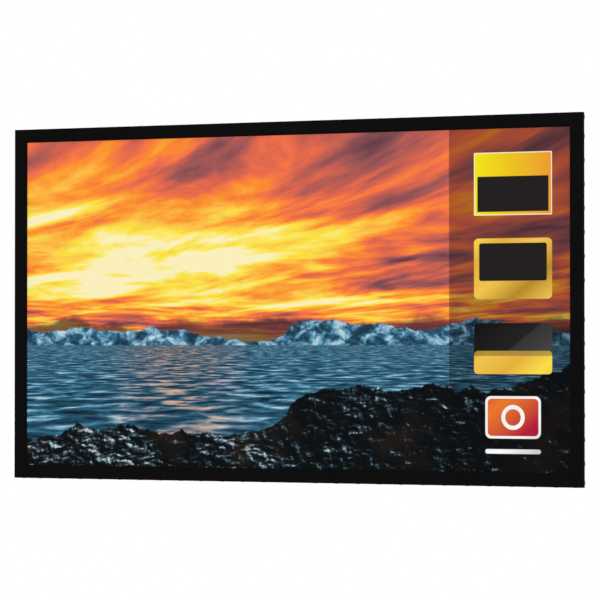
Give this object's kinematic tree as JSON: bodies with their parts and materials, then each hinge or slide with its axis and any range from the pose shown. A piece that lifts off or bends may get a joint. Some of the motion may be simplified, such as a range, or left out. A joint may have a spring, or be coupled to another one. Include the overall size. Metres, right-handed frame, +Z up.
{
  "type": "fixed frame projector screen",
  "caption": "Wall-hung projector screen: white cloth stretched by hem rods and spring clips behind a velvet-covered mitred frame, with brace and wall brackets.",
  "frame": {"origin": "centre of the whole object's box, clips and wall brackets included", "axes": "+X to the viewer's right, +Z up, the picture faces -Y and the wall is at +Y"},
  "size_m": [2.78, 0.03, 1.617],
  "materials": {
    "velvet_frame": "aluminium extrusion wrapped in matt black velvet, with black spring steel clips",
    "spring_clip": "blackened spring steel, the finish of the clips on the frame lengths",
    "zinc_plate": "bright zinc-plated sheet steel",
    "black_screw": "black oxide",
    "fibre_rod": "pultruded glass fibre rod",
    "brace_end": "moulded black nylon",
    "wall_bracket": "bright zinc-plated sheet steel",
    "brace_tube": "black anodised",
    "screen_cloth": "matt white PVC on cloth with a black back, showing a plain evening landscape"
  },
  "bodies": {
    "root": {"frame_top_left": "velvet_frame", "frame_top_right": "velvet_frame", "frame_right_upper": "velvet_frame", "frame_right_lower": "velvet_frame", "frame_bottom_right": "velvet_frame", "frame_bottom_left": "velvet_frame", "frame_left_lower": "velvet_frame", "frame_left_upper": "velvet_frame", "splice_plate_top": "zinc_plate", "splice_plate_right": "zinc_plate", "splice_plate_bottom": "zinc_plate", "splice_plate_left": "zinc_plate", "corner_plate_top_right": "zinc_plate", "corner_plate_bottom_right": "zinc_plate", "corner_plate_bottom_left": "zinc_plate", "corner_plate_top_left": "zinc_plate", "splice_screw_top_1": "black_screw", "splice_screw_top_2": "black_screw", "splice_screw_top_3": "black_screw", "splice_screw_top_4": "black_screw", "splice_screw_right_1": "black_screw", "splice_screw_right_2": "black_screw", "splice_screw_right_3": "black_screw", "splice_screw_right_4": "black_screw", "splice_screw_bottom_1": "black_screw", "splice_screw_bottom_2": "black_screw", "splice_screw_bottom_3": "black_screw", "splice_screw_bottom_4": "black_screw", "splice_screw_left_1": "black_screw", "splice_screw_left_2": "black_screw", "splice_screw_left_3": "black_screw", "splice_screw_left_4": "black_screw", "corner_screw_top_right_1": "black_screw", "corner_screw_top_right_2": "black_screw", "corner_screw_top_right_3": "black_screw", "corner_screw_top_right_4": "black_screw", "corner_screw_bottom_right_1": "black_screw", "corner_screw_bottom_right_2": "black_screw", "corner_screw_bottom_right_3": "black_screw", "corner_screw_bottom_right_4": "black_screw", "corner_screw_bottom_left_1": "black_screw", "corner_screw_bottom_left_2": "black_screw", "corner_screw_bottom_left_3": "black_screw", "corner_screw_bottom_left_4": "black_screw", "corner_screw_top_left_1": "black_screw", "corner_screw_top_left_2": "black_screw", "corner_screw_top_left_3": "black_screw", "corner_screw_top_left_4": "black_screw", "tension_rod_top": "fibre_rod", "tension_rod_right": "fibre_rod", "tension_rod_bottom": "fibre_rod", "tension_rod_left": "fibre_rod", "brace_hook_top": "brace_end", "brace_hook_bottom": "brace_end", "wall_bracket_top_left": "wall_bracket", "wall_bracket_top_right": "wall_bracket", "wall_bracket_bottom_left": "wall_bracket", "wall_bracket_bottom_right": "wall_bracket", "centre_brace": "brace_tube", "screen_cloth": "screen_cloth"}
  },
  "joints": []
}
